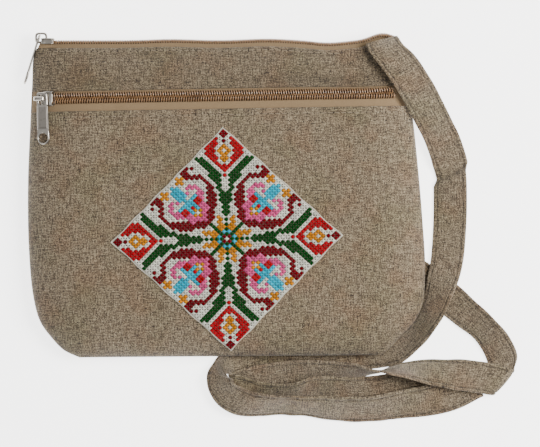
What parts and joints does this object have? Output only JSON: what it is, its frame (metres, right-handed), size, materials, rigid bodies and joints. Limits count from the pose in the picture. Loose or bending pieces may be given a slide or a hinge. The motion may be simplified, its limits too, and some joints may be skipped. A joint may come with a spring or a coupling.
{
  "type": "zip cross-body pouch",
  "caption": "Flat linen pouch with a front zip pocket, a top zip, a cross-stitched diamond patch and a long flat strap lying loose beside it.",
  "frame": {"origin": "middle of the pouch's footprint, without the strap, on the surface it lies on", "axes": "+Z out of the front panel, +Y towards the top zip, +X towards the end where the strap leaves the front"},
  "size_m": [0.2723, 0.2147, 0.0226],
  "materials": {
    "front_linen": "slubby natural linen",
    "upper_linen": "slubby natural linen",
    "back_linen": "slubby natural linen",
    "front_tape": "woven tape",
    "top_tape": "woven tape",
    "front_coil": "moulded coil",
    "top_coil": "moulded coil",
    "slider_metal": "antique nickel",
    "puller_metal": "antique nickel",
    "patch_canvas": "even-weave canvas under cross stitch",
    "strap_linen": "folded linen with edge stitching"
  },
  "bodies": {
    "bag": {"front_panel_lower": "front_linen", "front_panel_upper": "upper_linen", "back_panel": "back_linen", "front_zip_tape_lower": "front_tape", "front_zip_tape_upper": "front_tape", "top_zip_tape_front": "top_tape", "top_zip_tape_back": "top_tape", "front_zip_chain": "front_coil", "top_zip_chain": "top_coil", "front_zip_slider": "slider_metal", "top_zip_slider": "slider_metal", "embroidered_patch": "patch_canvas", "strap": "strap_linen"},
    "front_pull": {"front_zip_puller": "puller_metal"},
    "top_pull": {"top_zip_puller": "puller_metal"}
  },
  "joints": [
    {"name": "front_pull_hinge", "type": "hinge", "parent": "bag", "child": "front_pull", "pos_m": [-0.10341, 0.05221, 0.01685], "axis": [0.0308, -0.9988, -0.0389], "range_deg": [0, 150]},
    {"name": "top_pull_hinge", "type": "hinge", "parent": "bag", "child": "top_pull", "pos_m": [-0.10299, 0.0868, 0.0094], "axis": [0.0642, 0.1977, -0.9781], "range_deg": [0, 200]}
  ]
}
